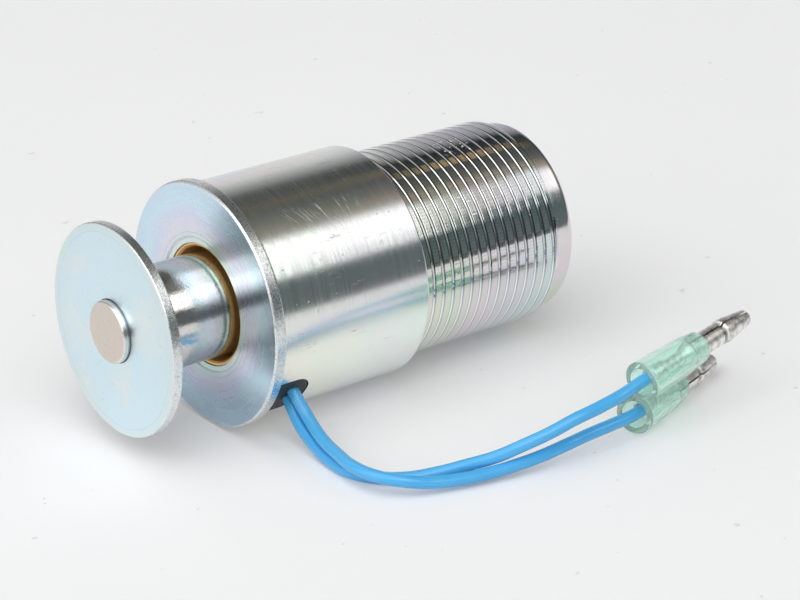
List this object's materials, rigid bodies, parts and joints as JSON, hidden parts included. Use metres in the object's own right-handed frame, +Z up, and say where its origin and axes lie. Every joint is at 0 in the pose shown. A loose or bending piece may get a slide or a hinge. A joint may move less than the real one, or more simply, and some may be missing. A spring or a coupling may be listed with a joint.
{
  "type": "fuel shutoff solenoid",
  "caption": "Tubular pull solenoid with a threaded nose, a sprung plunger that carries a stamped disc, and blue leads ending in sleeved bullet terminals, for stopping an engine's fuel.",
  "frame": {"origin": "on the axis, in the plane of the shoulder where the threaded nose begins", "axes": "+X along the axis towards the closed end of the nose, +Z up as the part lies on a table, leads leave towards -Y"},
  "size_m": [0.0964, 0.0765, 0.042],
  "materials": {
    "zinc_case": "bright zinc with a clear rainbow passivate",
    "zinc_plate": "bright zinc with a pale blue passivate",
    "zinc_disc": "stamped, bright zinc with a pale blue passivate",
    "plunger_steel": "turned and plated, satin",
    "bare_steel": "turned",
    "spring_wire": "drawn spring wire",
    "brass_tube": "drawn brass, darkened inside",
    "nylon": "moulded",
    "enamelled_wire": "enamelled copper wire",
    "tape": "varnished tape",
    "fibre": "pressed fibre",
    "grommet_rubber": "moulded black rubber",
    "lead_blue": "smooth blue insulation",
    "strands": "twisted copper strands",
    "tin_plate": "tin-plated, rolled and crimped",
    "sleeve_green": "clear green soft plastic"
  },
  "bodies": {
    "case_body": {"case": "zinc_case", "front_plate": "zinc_plate", "guide_tube": "brass_tube", "bobbin": "nylon", "coil_winding": "enamelled_wire", "coil_wrap": "tape", "stop_core": "bare_steel", "core_shim": "brass_tube", "front_washer": "fibre", "rear_washer": "fibre", "lead_grommet": "grommet_rubber", "splice_1": "tape", "splice_2": "tape", "lead_1": "lead_blue", "lead_2": "lead_blue", "core_1": "strands", "core_2": "strands", "terminal_1": "tin_plate", "terminal_2": "tin_plate", "sleeve_1": "sleeve_green", "sleeve_2": "sleeve_green", "return_spring": "spring_wire"},
    "plunger_body": {"plunger": "plunger_steel", "plunger_disc": "zinc_disc"}
  },
  "joints": [
    {"name": "plunger_slide", "type": "slide", "parent": "case_body", "child": "plunger_body", "axis": [1, 0, 0], "range_m": [0, 0.012], "stiffness_N_per_m": 400, "deforming": ["return_spring"]}
  ]
}
